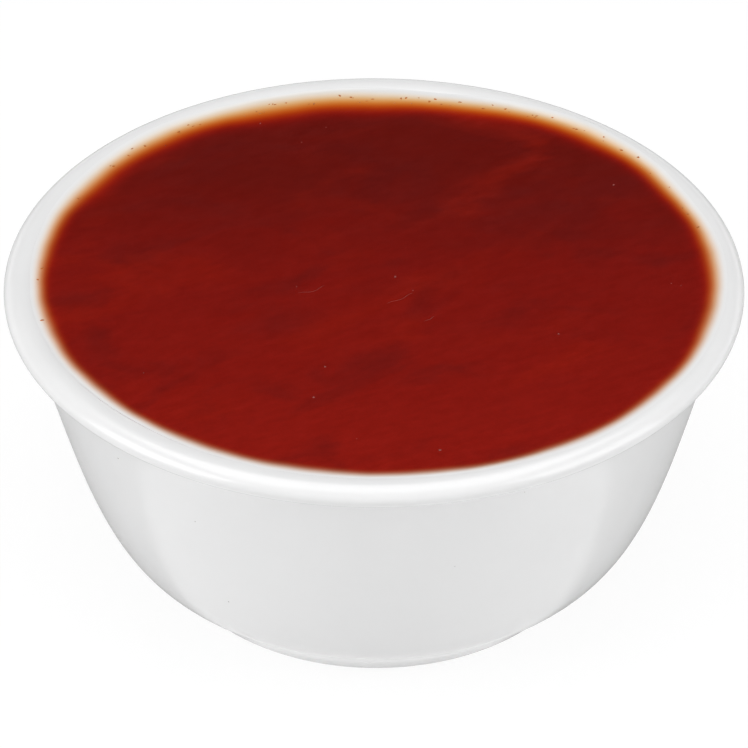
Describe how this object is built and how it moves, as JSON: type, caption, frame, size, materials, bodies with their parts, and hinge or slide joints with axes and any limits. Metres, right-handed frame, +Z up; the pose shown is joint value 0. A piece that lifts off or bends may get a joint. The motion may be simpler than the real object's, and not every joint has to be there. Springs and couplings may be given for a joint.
{
  "type": "bowl of ketchup",
  "caption": "Small round glazed ceramic bowl with a rolled rim and a narrow base, filled nearly to the brim with smooth ketchup for dipping and serving.",
  "frame": {"origin": "centre of the foot ring's underside, on the surface that the bowl stands on", "axes": "+Z up along the bowl's axis of revolution, X and Y level and interchangeable"},
  "size_m": [0.12, 0.12, 0.0548],
  "materials": {
    "glazed_white": "white gloss glaze",
    "ketchup": "wet, smooth, deep red, see-through where thin"
  },
  "bodies": {
    "root": {"bowl": "glazed_white", "ketchup": "ketchup"}
  },
  "joints": []
}
